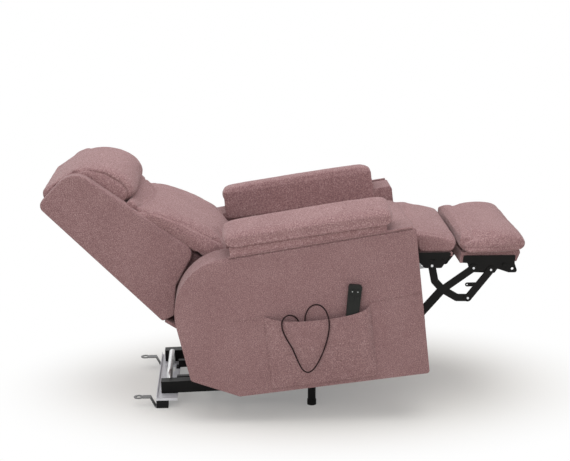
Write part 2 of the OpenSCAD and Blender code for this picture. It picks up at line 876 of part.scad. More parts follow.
// Rubber elbow that takes the cord through the panel
module cord_elbow() {
    end = CORD[len(CORD) - 1];
    color("#18181a") in_body() {
        translate([end[0] - side_out + 400, -end[1], end[2] - 22]) cylinder(d = 10, h = 22);
        pin([end[1], end[2] - 22], 11, -side_out + 0.01 - 6, -side_out);
    }
}

// ---- Seat ----

// Wooden frame under the springs
module seat_deck() {
    color("#c79f6a") in_body() difference() {
        block([-deck_half, deck_rear, deck_bottom], [deck_half, deck_front, deck_bottom + deck_t]);
        block([-deck_half + 22, deck_rear + 25, deck_bottom - 1],
            [deck_half - 22, deck_front - 30, deck_bottom + deck_t + 1]);
    }
}

// Zigzag springs from the rear rail to the front rail of the deck
module seat_springs() {
    waves = 14;
    wire = 4;
    rear = deck_rear + 25;
    pitch = (deck_front - 30 - rear) / waves;
    color("#8f9296") in_body() translate([0, 0, deck_bottom + deck_t - 8 - wire]) for (x = [-140, -70, 0, 70, 140])
        translate([x, 0, 0]) linear_extrude(wire) polygon(concat(
            [for (i = [0:waves]) [(i % 2 == 0 ? -18 : 18), -(rear + i * pitch)] + [wire / 2, 0]],
            [for (i = [waves:-1:0]) [(i % 2 == 0 ? -18 : 18), -(rear + i * pitch)] - [wire / 2, 0]]));
}

// Seat cushion: crowned top, rolled front edge over the footrest hinge
module seat_cushion() {
    low = seat_base;
    top = low + seat_cushion_h;
    skin = closed_curve([
        [180, low], [300, low], [400, low], [500, low], [630, low], [650, low + 5], [668, low + 27],
        [690, low + 42], [701, low + 66], [692, top - 12], [655, top - 2], [560, top + 3], [430, top + 4],
        [300, top], [210, top - 8], [174, top - 24], [169, low + 45], [170, low + 12]
    ], 2);
    outline = [for (p = skin) [p[0], max(p[1], low)]];
    color("#ab8688") in_body() padding(outline, [420, low], side_in - 9, 0, [10, 14], 5);
}

// Control box on the foot actuator's cross tube
module control_box() {
    color("#242529") in_body()
        block([20, foot_drive_tube[0] - 32, foot_drive_tube[1] - cross_d / 2 - 34],
            [150, foot_drive_tube[0] + 32, foot_drive_tube[1] - cross_d / 2]);
}

// ---- Back ----

wing_in = back_half - wing_t;
bracket_t = 4;
back_pin_d = 16;
back_rear = -181;
panel_front = back_rear + rear_panel_t;
frame_front = panel_front + back_frame_t;

function wing_outline() = [
    [back_rear, 72, 10], [back_rear, back_length, 26], [-6, back_length + 4, 74], [76, 165, 40],
    [-58, 126, 20], [-138, 58, 8]
];

module wing() {
    plate(wing_in, wing_t) polygon(rounded(wing_outline()));
}

module left_wing() {
    color("#9c777a") in_back() wing();
}

module right_wing() {
    color("#9c777a") in_back() mirror([1, 0, 0]) wing();
}

module rear_panel() {
    color("#946f72") in_back()
        block([-wing_in, back_rear, 66], [wing_in, panel_front, back_length - 20]);
}

// Wooden ring between the rear panel and the foam
module back_frame() {
    color("#c79f6a") in_back() difference() {
        block([-wing_in, panel_front, 66], [wing_in, frame_front, back_length - 20]);
        for (z = [[130, 320], [370, back_length - 80]])
            block([-wing_in + 55, panel_front - 1, z[0]], [wing_in - 55, frame_front + 1, z[1]]);
    }
}

// Bent board that closes the bottom of the back
module lower_back_cover() {
    color("#946f72") in_back() plate(-back_half + 3, 2 * back_half - 6) polygon(rounded([
        [back_rear + 3, 65.5, 0], [-166, 12, 12], [-110, -4, 20], [-60, -6, 0], [-60, 4, 0], [-108, 6, 15],
        [-156, 20, 8], [-168, 65.5, 0]
    ]));
}

foam_rear = frame_front;
core_half = wing_in - bracket_t - 0.5;

module back_foam() {
    color("#d8cdb8") in_back() plate(-core_half, 2 * core_half) polygon(rounded([
        [foam_rear, 20, 0], [foam_rear, 424, 0], [34, 424, 10], [64, 300, 30], [66, 120, 20], [40, 20, 10]
    ]));
}

// Lumbar cushion in front of the wings
module lumbar_cushion() {
    outline = closed_curve([
        [84, 30], [80, 120], [77, 210], [66, 300], [48, 368], [54, 390], [74, 366], [105, 310], [134, 240],
        [156, 168], [166, 112], [158, 55], [126, 18], [100, 14]
    ], 3);
    color("#ab8688") in_back() padding(outline, [80, 200], back_half - 4, 0, [22, 24], 4);
}

// Headrest roll between the tops of the wings
module headrest_cushion() {
    low = foam_rear + soft_gap;
    outline = closed_curve([
        [low + 3, 440], [low + 1, 520], [low + 1, 590], [low + 10, 632], [-92, 650], [-40, 653], [4, 638],
        [46, 604], [80, 556], [98, 508], [99, 468], [84, 438], [50, 431], [-30, 434], [-100, 434]
    ], 3);
    color("#ab8688") in_back() padding(outline, [-40, 530], wing_in - 1, 0, [26, 26], 4);
}

bracket_x = wing_in - bracket_t;

// Steel hinge arms on the inner faces of the wings, with their pins in the side plates
module back_brackets() {
    color("#2a2b2f") in_back() both_sides() {
        plate(bracket_x, bracket_t - 0.1) polygon(strip([[0, 0], [-100, 90], [-100, 260]], 34));
        pin([0, 0], back_pin_d, bracket_x, side_in - 0.3);
    }
}

// Tube on the hinge axis with the lever of the back actuator
module back_torque_tube() {
    tip = to_back(back_drive_tip);
    color("#26272b") in_back() {
        tube([0, 0], cross_d, -bracket_x, bracket_x);
        clevis(tip, [0, 0], back_lane, blade_t);
    }
}

// ---- Footrest ----

// Stamped plates that carry the front of the seat pad
module mid_plates() {
    color("#17181a") in_body() both_sides() {
        plate(mid_x, link_t) difference() {
            polygon(rounded([
                [664, 478, 6], [664, 492, 10], [692, 492, 10], [700, 479, 4], [825, 464, 6], [783, 413, 8],
                [726, 420, 8], [704, 448, 10], [672, 460, 8]
            ]));
            disc(mid_hinge, cross_d);
            bar([748, 446], [762, 445], 6);
            disc([790, 444], 6);
        }
        pin(mid_pin, rivet_d, upper_x - 1.5, mid_x);
    }
}

// Tube on the front hinge axis with the lever of the foot actuator
module torque_tube() {
    color("#26272b") in_body() {
        tube(mid_hinge, cross_d, -side_in + 0.5, side_in - 0.5);
        clevis(lever_tip, mid_hinge, foot_lane, blade_t);
    }
}

// Top edge of the board between the seat and the footrest
board_fall = 14.5 / 112;
function board_top(a) = 477.5 - board_fall * (a - 714);

module mid_board() {
    color("#9c777a") in_body() plate(-mid_x, 2 * mid_x) polygon([
        [714, 463], [714, board_top(714)], [826, board_top(826)], [826, 450]
    ]);
}

// Pad between the seat and the footrest
module mid_pad() {
    skin = closed_curve([
        [716, 477.5], [750, 473], [790, 468], [818, 464.5], [837, 476], [845.5, 488], [848, 500], [840, 510],
        [820, 519], [788, 531], [752, 542], [722, 549], [708, 540], [704, 515], [707, 492]
    ], 3);
    outline = [for (p = skin) [p[0], max(p[1], board_top(p[0]) + soft_gap)]];
    color("#ab8688") in_body() padding(outline, [770, board_top(770) + soft_gap], mid_x - 1, 0, [8, 12], 5,
        slope = -board_fall);
}

module upper_links() {
    color("#1c1d20") in_body() both_sides() {
        plate(upper_x, link_t) difference() {
            polygon(strip([mid_pin, cross_pin + [-24, 34], cross_pin, rail_rear_pin], link_w));
            disc(mid_pin, rivet_d + 2 * fit_gap);
            disc(rail_rear_pin, rivet_d + 2 * fit_gap);
        }
        pin(cross_pin, rivet_d, lower_x - 1.5, upper_x);
    }
}

// Links with the guide rollers at their hidden ends
module lower_links() {
    bend = [827, 299];
    color("#1c1d20") in_body() both_sides() {
        plate(lower_x, link_t) difference() {
            union() {
                bar(guide_pin, cross_pin, link_w + 4);
                polygon(strip([cross_pin, bend, knee_pin], link_w));
            }
            disc(cross_pin, rivet_d + 2 * fit_gap);
        }
        pin(guide_pin, rivet_d, lower_x + link_t, side_x - 1);
        pin(guide_pin, roller_d, side_x - 1, side_in - 0.5);
        pin(knee_pin, rivet_d, lower_x + link_t, upper_x + link_t + 1.5);
    }
}

// Front links with the short stay arm; the front pivot keeps a little play
module outer_links() {
    play = 0.6;
    color("#1c1d20") in_body() both_sides() plate(upper_x, link_t) difference() {
        union() {
            bar(knee_pin, rail_front_pin, link_w);
            bar(knee_pin + [40, 44], [866, 342], 14);
        }
        disc(knee_pin, rivet_d + 2 * fit_gap);
        disc(rail_front_pin, rivet_d + 2 * play);
        disc([866, 342], 5);
    }
}

// Angle rails under the footrest board, with their end loops and rubber stops
module footrest_rails() {
    color("#17181a") in_body() both_sides() {
        plate(lower_x, link_t) difference() {
            polygon(rounded([
                [858, 420, 3], [874, 417, 4], [880, 384, 8], [964, 370, 8], [975, 384, 4], [1012, 366, 6],
                [1044, 362, 8], [1036, 396, 4], [1041, 424, 3], [864, 445, 3]
            ]));
            disc([1026, 378], 9);
        }
        pin(rail_rear_pin, rivet_d, lower_x + link_t, upper_x + link_t + 1.5);
        pin(rail_front_pin, rivet_d, lower_x + link_t, upper_x + link_t + 1.5);
        pin([1000, 394], 14, lower_x + link_t, lower_x + link_t + 6);
    }
}

module footrest_board() {
    color("#9c777a") in_body() plate(-lower_x, 2 * lower_x) polygon(rounded([
        [858, 458, 3], [847, 420, 3], [1043, 402, 3], [1058, 430, 6], [1057, 440.5, 3]
    ]));
}

module footrest_pad() {
    outline = closed_curve([
        [876, 457.5], [920, 453.9], [964, 450.2], [1010, 446.3], [1050, 443], [1072, 444], [1086, 456], [1087, 472],
        [1074, 491], [1044, 502], [1000, 510], [950, 513], [905, 511], [878, 506], [861, 497], [856.5, 484], [860, 466]
    ], 3);
    color("#ab8688") in_body() padding(outline, [962, 450.6], mid_x + 18, 0, [14, 14], 4);
}

base_rails();
rail_caps();
rear_cross_plate();
base_cross_members();
rear_bow();
rear_foot_blocks();
front_foot_tips();
floor_brackets();
base_link_brackets();
power_supply();
lift_links();
stay_links();
lift_motor();
lift_rod();
cross_tubes();
side_plates();
left_arm_box();
right_arm_box();
arm_strips();
left_arm_pad();
right_arm_pad();
pocket();
handset_back();
handset_front();
handset_gland();
handset_cord();
cord_elbow();
seat_deck();
seat_springs();
seat_cushion();
control_box();
button_raise();
button_lower();
button_recline();
button_upright();
back_frame();
rear_panel();
lower_back_cover();
left_wing();
right_wing();
back_foam();
lumbar_cushion();
headrest_cushion();
back_brackets();
back_torque_tube();
back_motor();
back_rod();
mid_plates();
torque_tube();
mid_board();
mid_pad();
upper_links();
lower_links();
outer_links();
footrest_rails();
footrest_board();
footrest_pad();
foot_motor();
foot_rod();
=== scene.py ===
import json
import math

import bpy
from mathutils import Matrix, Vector, noise


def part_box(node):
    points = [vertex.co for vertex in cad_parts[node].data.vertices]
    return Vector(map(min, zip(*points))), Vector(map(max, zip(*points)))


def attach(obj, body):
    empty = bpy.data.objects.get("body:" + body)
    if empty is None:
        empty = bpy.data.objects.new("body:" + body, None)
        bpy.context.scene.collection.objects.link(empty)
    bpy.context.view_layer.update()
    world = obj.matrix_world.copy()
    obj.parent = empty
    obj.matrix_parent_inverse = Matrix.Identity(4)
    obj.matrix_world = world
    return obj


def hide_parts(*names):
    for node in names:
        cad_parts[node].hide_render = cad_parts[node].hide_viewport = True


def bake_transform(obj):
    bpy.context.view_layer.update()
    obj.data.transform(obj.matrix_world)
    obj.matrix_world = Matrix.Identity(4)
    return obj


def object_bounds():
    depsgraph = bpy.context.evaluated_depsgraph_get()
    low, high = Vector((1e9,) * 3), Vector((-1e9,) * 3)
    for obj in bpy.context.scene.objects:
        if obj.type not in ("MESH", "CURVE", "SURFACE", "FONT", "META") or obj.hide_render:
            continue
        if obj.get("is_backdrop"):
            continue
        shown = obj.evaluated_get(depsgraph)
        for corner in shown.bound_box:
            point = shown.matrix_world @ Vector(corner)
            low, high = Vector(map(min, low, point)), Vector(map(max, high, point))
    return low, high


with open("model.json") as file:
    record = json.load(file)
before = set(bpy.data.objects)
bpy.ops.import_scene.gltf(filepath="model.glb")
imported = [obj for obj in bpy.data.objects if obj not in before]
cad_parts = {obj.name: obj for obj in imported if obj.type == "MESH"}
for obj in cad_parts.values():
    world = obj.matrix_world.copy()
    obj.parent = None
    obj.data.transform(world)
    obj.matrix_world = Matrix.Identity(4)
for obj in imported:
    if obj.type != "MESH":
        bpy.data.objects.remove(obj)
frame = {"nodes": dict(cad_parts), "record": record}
cad_low, cad_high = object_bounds()

# ---- Camera, lamps and floor ----
# A long lens at standing height looks across the chair from its right side.
# Broad lamps above, on the near side and behind give soft light; the floor is plain and pale.

camera = bpy.data.objects.new("camera", bpy.data.cameras.new("camera"))
bpy.context.scene.collection.objects.link(camera)
camera.data.lens = 85.3
camera.data.sensor_width = 36
camera.location = (-4.6812, 0.200, 1.72348)
looks_down, looks_aside = math.radians(13.756), math.radians(-2.513)
gaze = Vector((
    math.cos(looks_down) * math.cos(looks_aside),
    math.cos(looks_down) * math.sin(looks_aside),
    -math.sin(looks_down),
))
camera.rotation_euler = gaze.to_track_quat("-Z", "Y").to_euler()
bpy.context.scene.camera = camera
bpy.context.scene.view_settings.view_transform = "Standard"


class Wire:
    """A socket of a material's nodes that takes part in arithmetic."""

    def __init__(self, socket):
        self.socket = socket

    def maths(self, operation, first, second):
        node = self.socket.id_data.nodes.new("ShaderNodeMath")
        node.operation = operation
        plug(node.inputs[0], first)
        plug(node.inputs[1], second)
        return Wire(node.outputs[0])

    def __add__(self, other):
        return self.maths("ADD", self, other)

    def __rsub__(self, other):
        return self.maths("SUBTRACT", other, self)

    def __mul__(self, other):
        return self.maths("MULTIPLY", self, other)

    def __gt__(self, other):
        return self.maths("GREATER_THAN", self, other)

    __radd__ = __add__
    __rmul__ = __mul__


def plug(socket, value):
    """Feeds a socket from a wire or sets it to a plain value."""
    if isinstance(value, Wire):
        socket.id_data.links.new(value.socket, socket)
    else:
        socket.default_value = value


class Finish:
    """A material in the making. Numbers and colours given here are linear."""

    def __init__(self, name, **sockets):
        self.material = bpy.data.materials.new(name)
        self.material.use_nodes = True
        self.tree = self.material.node_tree
        self.shader = self.tree.nodes["Principled BSDF"]
        self.place = self.node("TexCoord", "Object")
        for socket, value in sockets.items():
            plug(self.shader.inputs[socket.replace("_", " ")], value)

    def node(self, kind, output=0, inputs=None, stops=None, **settings):
        node = self.tree.nodes.new("ShaderNode" + kind)
        for setting, value in settings.items():
            setattr(node, setting, value)
        if stops:
            ramp = node.color_ramp.elements
            ramp[0].position, ramp[1].position = stops[0][0], stops[-1][0]
            ramp[0].color, ramp[1].color = stops[0][1], stops[-1][1]
            for position, colour in stops[1:-1]:
                ramp.new(position).color = colour
        for socket, value in (inputs or {}).items():
            plug(node.inputs[socket], value)
        return Wire(node.outputs[output])

    def grain(self, scale, detail=2.0, stretch=None):
        place = self.place
        if stretch:
            place = self.node("Mapping", inputs={"Vector": place, "Scale": stretch})
        return self.node("TexNoise", "Fac", {"Vector": place, "Scale": scale, "Detail": detail})

    def mix(self, share, first, second):
        return self.node("Mix", 2, {0: share, 6: first, 7: second}, data_type="RGBA")

    def bumps(self, height, strength, distance):
        plug(self.shader.inputs["Normal"], self.node("Bump", inputs={
            "Height": height, "Strength": strength, "Distance": distance}))


floor_finish = Finish("floor", Roughness=0.9)
plug(floor_finish.shader.inputs["Base Color"], (0.80, 0.785, 0.745, 1))


def white_backdrop(tree, surface, share, glow="Emission"):
    """Lets eyes and gloss see white in place of the surface, by the given share."""
    rays = tree.nodes.new("ShaderNodeLightPath")
    seen = Wire(rays.outputs["Is Camera Ray"]) + Wire(rays.outputs["Is Glossy Ray"])
    blend = tree.nodes.new("ShaderNodeMixShader")
    plug(blend.inputs[0], (seen + Wire(rays.outputs["Is Transmission Ray"])) * share)
    tree.links.new(surface, blend.inputs[1])
    white = tree.nodes.new("ShaderNode" + glow)
    white.inputs["Color"].default_value = (1, 1, 1, 1)
    white.inputs["Strength"].default_value = 1.0
    tree.links.new(white.outputs[0], blend.inputs[2])
    return blend.outputs[0]


# The floor keeps its shadow round the chair and fades to white further out.
oval = floor_finish.node("Mapping", inputs={
    "Vector": floor_finish.place, "Location": (0.0, 0.10, 0.0), "Scale": (1.45, 0.95, 1.0)})
spread = floor_finish.node("VectorMath", "Value", {0: oval}, operation="LENGTH")
fade_from, fade_to, least_white, most_white = 0.50, 1.15, 0.22, 1.0
fade = floor_finish.node(
    "MapRange", inputs={0: spread, 1: fade_from, 2: fade_to, 3: least_white, 4: most_white},
    interpolation_type="SMOOTHSTEP")
floor_finish.tree.links.new(
    white_backdrop(floor_finish.tree, floor_finish.shader.outputs[0], fade),
    floor_finish.tree.nodes["Material Output"].inputs["Surface"])
bpy.ops.mesh.primitive_plane_add(size=60)
floor = bpy.context.object
floor.name = "floor"
floor.data.materials.append(floor_finish.material)
floor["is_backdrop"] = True

world = bpy.data.worlds.new("studio")
bpy.context.scene.world = world
world.use_nodes = True
sky = world.node_tree.nodes["Background"]
sky.inputs["Color"].default_value = (1, 0.99, 0.98, 1)
sky.inputs["Strength"].default_value = 0.55
world.node_tree.links.new(
    white_backdrop(world.node_tree, sky.outputs[0], 1, "Background"),
    world.node_tree.nodes["World Output"].inputs["Surface"])
for name, place, size, power, aim in (
    ("lamp_above", (-0.6, -0.3, 3.4), 3.2, 62, (0, 0, 0.4)),
    ("lamp_side", (-4.0, 1.2, 2.6), 2.4, 38, (0, 0.1, 0.4)),
    ("lamp_back", (2.6, 1.8, 2.6), 2.2, 30, (0, 0, 0.5)),
):
    lamp = bpy.data.objects.new(name, bpy.data.lights.new(name, "AREA"))
    bpy.context.scene.collection.objects.link(lamp)
    lamp.data.size = size
    lamp.data.energy = power
    lamp.location = place
    lamp.rotation_euler = (Vector(aim) - Vector(place)).to_track_quat("-Z", "Y").to_euler()

# ---- Handset cord ----
# A five-millimetre round cord in a dark brown rubber sleeve.
# It leaves the arm box through a rubber elbow inside the pocket, hangs out over the mouth
# in one long loop, dips back inside and goes up into the foot of the handset.

lean = math.radians(6.6)
datum = 200


def chair(across, forward, up):
    """A point in millimetres along the tilted chair, as a point of the row in metres."""
    run = forward * math.cos(lean) - up * math.sin(lean)
    rise = forward * math.sin(lean) + up * math.cos(lean)
    return Vector((across, datum - run, rise)) / 1000


def on_chair(point):
    """The same the other way: (across, forward, up) in millimetres."""
    run, rise = datum - point[1] * 1000, point[2] * 1000
    forward = run * math.cos(lean) + rise * math.sin(lean)
    return point[0] * 1000, forward, rise * math.cos(lean) - run * math.sin(lean)


def smooth_line(points, steps):
    """Points on one smooth curve through the given ones."""
    points = [Vector(p) for p in points]
    ends = [points[0], *points, points[-1]]
    line = []
    for a, b, c, d in zip(ends, ends[1:], ends[2:], ends[3:]):
        for step in range(steps):
            t = step / steps
            line.append(0.5 * (
                2 * b + (c - a) * t + (2 * a - 5 * b + 4 * c - d) * t * t
                + (3 * b - a - 3 * c + d) * t * t * t
            ))
    return [*line, points[-1]]


cord_route = [
    (-411, 438, 269), (-411, 435, 257), (-410, 431, 238), (-408, 416, 216), (-407, 390, 206),
    (-407, 360, 212), (-408, 332, 232), (-409, 312, 262), (-411, 300, 296), (-413, 294, 328),
    (-415, 298, 356), (-418, 311, 379), (-423, 330, 391), (-428, 350, 388), (-432, 365, 370),
    (-432, 372, 342), (-432, 371, 310), (-432, 360, 270), (-431, 341, 226), (-430, 318, 188),
    (-429, 298, 167), (-429, 281, 163), (-430, 266, 177), (-431, 254, 210), (-432, 242, 252),
    (-432, 227, 287), (-432, 217, 320), (-430, 217, 344), (-426, 226, 359), (-421, 240, 365),
    (-415, 256, 360), (-410, 269, 346), (-408, 277, 322), (-407, 281, 294), (-406, 282, 268),
    (-406, 282, 250),
]
cord_line = smooth_line([chair(*p) for p in reversed(cord_route)], 4)


def round_line(name, line, radius):
    """A curve object of round section along a line of points."""
    curve = bpy.data.curves.new(name, "CURVE")
    curve.dimensions = "3D"
    curve.bevel_depth = radius
    curve.bevel_resolution = 3
    curve.use_fill_caps = True
    run = curve.splines.new("POLY")
    run.points.add(len(line) - 1)
    for knot, place in zip(run.points, line):
        knot.co = (*place, 1)
    piece = bpy.data.objects.new(name, curve)
    bpy.context.scene.collection.objects.link(piece)
    return piece


lead = round_line("handset_lead", cord_line, 0.0025)
sleeve = Finish("cord_sleeve", Roughness=0.42, Specular_IOR_Level=0.12)
plug(sleeve.shader.inputs["Base Color"], sleeve.mix(
    sleeve.grain(160), (0.012, 0.005, 0.006, 1), (0.026, 0.011, 0.012, 1)))
sleeve.bumps(sleeve.grain(1400), 0.15, 0.0003)
lead.data.materials.append(sleeve.material)
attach(lead, "chair")
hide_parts("handset_cord")
sum((b - a).length for a, b in zip(cord_line, cord_line[1:]))

# ---- Arm boxes ----
# Plywood boxes, open below, with a thin layer of wadding and the dusty pink marl cloth
# pulled over them and stapled underneath. The outer side is sewn from panels.


def alone(*pieces):
    """Selects these pieces and nothing else; the last becomes active."""
    bpy.ops.object.select_all(action="DESELECT")
    for piece in pieces:
        piece.select_set(True)
    bpy.context.view_layer.objects.active = pieces[-1]


def apply(piece, kind, **settings):
    """Adds a modifier and applies it; the piece stays selected."""
    alone(piece)
    modifier = piece.modifiers.new(kind.lower(), kind)
    for setting, value in settings.items():
        setattr(modifier, setting, value)
    bpy.ops.object.modifier_apply(modifier=modifier.name)


def edit_all(piece, change, **settings):
    """Runs one mesh operator over the whole of a piece."""
    alone(piece)
    bpy.ops.object.mode_set(mode="EDIT")
    bpy.ops.mesh.select_all(action="SELECT")
    change(**settings)
    bpy.ops.object.mode_set(mode="OBJECT")


def lifted(node, name):
    """A loose copy of a frame solid, with its corners merged."""
    piece = bpy.data.objects.new(name, frame["nodes"][node].data.copy())
    bpy.context.scene.collection.objects.link(piece)
    piece.data.materials.clear()
    edit_all(piece, bpy.ops.mesh.remove_doubles, threshold=2e-5)
    return piece


def edged(node, name, width, segments=3):
    """A copy whose flat faces are whole again and whose edges are rounded over."""
    piece = lifted(node, name)
    edit_all(piece, bpy.ops.mesh.dissolve_limited, angle_limit=math.radians(1.5))
    apply(piece, "BEVEL", width=width, segments=segments, limit_method="ANGLE",
          angle_limit=math.radians(38), profile=0.6, harden_normals=False)
    bpy.ops.object.shade_smooth_by_angle(angle=math.radians(32))
    return piece


def tube(name, line, radius):
    """A thin round strip along a line, as a mesh."""
    strip = round_line(name, line, radius)
    alone(strip)
    bpy.ops.object.convert(target="MESH")
    bpy.ops.object.shade_smooth()
    return bpy.context.object


def joined(piece, *parts):
    """Makes the parts one mesh with the piece."""
    alone(*parts, piece)
    bpy.ops.object.join()
    return piece


def cloth(name, tone=1.0, fine=330, coarse=70, mottle=0.12):
    """Dusty pink marl: pale and plum flecks in a soft, close weave.

    fine and coarse are the scales of the flecks and slubs; mottle is the slubs' share.
    """
    finish = Finish(name, Roughness=0.93, Sheen_Weight=0.30, Sheen_Roughness=0.45,
                    Sheen_Tint=(0.90, 0.72, 0.72, 1), Specular_IOR_Level=0.25)
    flecks = finish.grain(fine, 2.5)
    slubs = finish.grain(coarse, 3.0)
    clouds = finish.grain(9, 2.0)
    yarn = finish.node("TexVoronoi", "Distance", {"Vector": finish.place, "Scale": 560.0})
    rows = finish.node("TexWave", "Fac", {
        "Vector": finish.place, "Scale": 210.0, "Distortion": 3.0, "Detail": 1.0, "Detail Scale": 2.0})
    plum = (0.196 * tone, 0.104 * tone, 0.108 * tone, 1)
    rose = (0.318 * tone, 0.186 * tone, 0.188 * tone, 1)
    pale = (0.520 * tone, 0.352 * tone, 0.350 * tone, 1)
    furrow = (0.190 * tone, 0.100 * tone, 0.104 * tone, 1)
    marl = flecks * (0.78 - mottle) + slubs * mottle + clouds * 0.08 + 0.07
    shade = finish.node(
        "ValToRGB", inputs={"Fac": marl}, stops=[(0.38, plum), (0.50, rose), (0.64, pale)])
    weave = (yarn * 0.6 + rows * 0.25) * 0.55
    plug(finish.shader.inputs["Base Color"], finish.mix(weave, shade, furrow))
    finish.bumps(yarn * 0.6 + flecks * 0.9 + slubs * (mottle * 2) + rows * 0.25, 0.55, 0.0022)
    return finish.material


box_cloth = cloth("marl_cloth_tight")


def upholstered(piece, body, slot, material, *nodes):
    """Covers a piece in a material and puts it in place of its nodes.

    A piece without a body is not attached to any.
    """
    piece.data.materials.clear()
    piece.data.materials.append(material)
    if body:
        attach(piece, body)
    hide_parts(*nodes)


side_x = 400
arm_rear, arm_rear_top, arm_slope = -158, 569, 0.0412
seam_radius, welt_radius = 0.0021, 0.0042
sides = (("left", 1), ("right", -1))
for side, hand in sides:
    box = edged(f"{side}_arm_box", f"{side}_arm_cover", 0.006)
    face = hand * (side_x + 0.2)
    seams = []
    for number, line in enumerate((
        [(face, 60, 362), (face, 110, 364), (face, 160, 366)],
        [(face, 514, 372), (face, 600, 377), (face, 689, 383)],
        [(face, 514, 104), (face, 514, 240), (face, 514, 378)],
        [(face, 160, 104), (face, 160, 240), (face, 160, 372)],
    )):
        seams.append(tube(f"{side}_arm_seam_{number}", [chair(*p) for p in line], seam_radius))
    seams.append(tube(f"{side}_arm_welt", [
        chair(hand * (side_x - 2.5), forward, arm_rear_top + (forward - arm_rear) * arm_slope + 1.5)
        for forward in range(70, 689, 12)], welt_radius))
    joined(box, *seams)
    upholstered(box, "chair", "cover_dark", box_cloth, f"{side}_arm_box")

# ---- Padded pieces: seat with its flap, arm pads, head and back cushions, footrest ----
# Each is foam and fibre inside a sewn cover. The cover is blown up from the cut shape,
# then pulled in again along its seams.

soft_cloth = cloth("marl_cloth_soft", 1.08, fine=290, coarse=160, mottle=0.20)
fill_frames, fill_pressure = 20, 4.0


def swollen(piece, voxel, cap, held):
    """Fills the cover, which moves by cap at most.

    held(point) is true where the cover rests on something and stays flat.
    """
    alone(piece)
    piece.data.remesh_voxel_size = voxel
    bpy.ops.object.voxel_remesh()
    bpy.ops.object.shade_smooth()
    start = [v.co.copy() for v in piece.data.vertices]
    pins = piece.vertex_groups.new(name="held")
    pins.add([v.index for v in piece.data.vertices if held(on_chair(v.co))], 1.0, "ADD")
    fill = piece.modifiers.new("fill", "CLOTH")
    fill.settings.vertex_group_mass = "held"
    fill.settings.use_pressure = True
    fill.settings.uniform_pressure_force = fill_pressure
    fill.settings.effector_weights.gravity = 0
    fill.settings.quality = 4
    fill.settings.tension_stiffness = 25
    fill.settings.compression_stiffness = 25
    fill.settings.shear_stiffness = 8
    fill.settings.bending_stiffness = 1.2
    fill.collision_settings.use_collision = False
    fill.point_cache.frame_start, fill.point_cache.frame_end = 1, fill_frames
    for step in range(1, fill_frames + 1):
        bpy.context.scene.frame_set(step)
    shape = piece.evaluated_get(bpy.context.evaluated_depsgraph_get()).data
    swelled = [v.co.copy() for v in shape.vertices]
    piece.modifiers.remove(fill)
    piece.vertex_groups.clear()
    bpy.context.scene.frame_set(1)
    for vertex, old, new in zip(piece.data.vertices, start, swelled):
        move = new - old
        if move.length > cap:
            move *= cap / move.length
        vertex.co = old + move
    apply(piece, "SMOOTH", factor=0.5, iterations=3)
    apply(piece, "SUBSURF", levels=1, render_levels=1)


lump_height = 0.0008
far_off = 99


def pressed(piece, seams):
    """Pulls the cover in along its seams and gives it slight lumps.

    Each seam is (how far a point lies from it in mm, depth in m, width in mm).
    """
    normals = [v.normal.copy() for v in piece.data.vertices]
    for vertex, normal in zip(piece.data.vertices, normals):
        place = on_chair(vertex.co)
        depth = -lump_height * noise.noise(vertex.co * 22)
        depth -= lump_height * 0.6 * noise.noise(vertex.co * 55)
        for distance, deep, wide in seams:
            gap = distance(place) / wide
            if abs(gap) < 4:
                depth += deep * math.exp(-gap * gap)
        vertex.co -= normal * depth


def wad(name, place, low, high, rounding, shift=None):
    """A block of wadding between two corners in millimetres, placed by chair() or back().

    shift, where given, moves each corner of the block first.
    """
    bpy.ops.mesh.primitive_cube_add(size=2)
    block = bpy.context.object
    block.name = name
    for vertex in block.data.vertices:
        corner = [b if sign > 0 else a for a, b, sign in zip(low, high, vertex.co)]
        vertex.co = place(*(shift(*corner) if shift else corner))
    edit_all(block, bpy.ops.mesh.normals_make_consistent, inside=False)
    apply(block, "BEVEL", width=rounding, segments=2)
    return block


def beside(line):
    """How far a point (first, second) lies from a line of such points, in millimetres."""
    legs = [(Vector(a), Vector(b) - Vector(a)) for a, b in zip(line, line[1:])]

    def distance(first, second):
        point = Vector((first, second))
        return min(
            (point - a - leg * min(1.0, max(0.0, (point - a).dot(leg) / leg.length_squared))).length
            for a, leg in legs)
    return distance


def padded(piece, body, slot, fill, *nodes):
    """Covers a stuffed piece in the soft cloth; fill, how firmly it is filled, is not used."""
    upholstered(piece, body, slot, soft_cloth, *nodes)


# The seat runs on over the footrest hinge as one cover, so a foam strip fills the gap.
def seat_rests(p):
    """On the deck, between the arms, and on the flap's board, which falls to the front."""
    across, forward, up = p
    return up < 475 or abs(across) > 249 or (forward > 700 and up < 484 - 0.12 * (forward - 714))


seat = lifted("seat_cushion", "chaise_pad")
flap = lifted("mid_pad", "chaise_flap")
strip = wad("chaise_strip", chair, (-242, 668, 502), (242, 742, 552), 0.010,
            lambda across, forward, up: (across, forward, up - (0 if forward < 700 else 7)))
joined(seat, flap, strip)
swollen(seat, 0.0070, 0.009, seat_rests)
pressed(seat, [(lambda p: abs(p[0]) - 238 if p[2] > 480 else far_off, 0.0022, 5)])
padded(seat, None, "cover", 0.7, "seat_cushion", "mid_pad")
chair(0, 650, 500)
chair(0, 712, 500)
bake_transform(seat)


# The cover of each arm pad hangs on down the inner side of the arm as a wadded apron.
def apron_corner(across, forward, up):
    """The apron's top edge rises to the front more than its lower edge."""
    back_by = 6 if forward > 300 and up > 600 else 0
    slope = 0.012 if up < 600 else 0.03
    return across, forward - back_by, up + slope * (forward - 300)


def arm_rests(p):
    across, forward, up = p
    return up < 612 + 0.0237 * (forward - 70) + 3 or abs(across) < 272


def arm_end_seam(p):
    across, forward, up = p
    return forward - 606 - 0.05 * (up - 650) if abs(across) > 300 and up < 652 else far_off


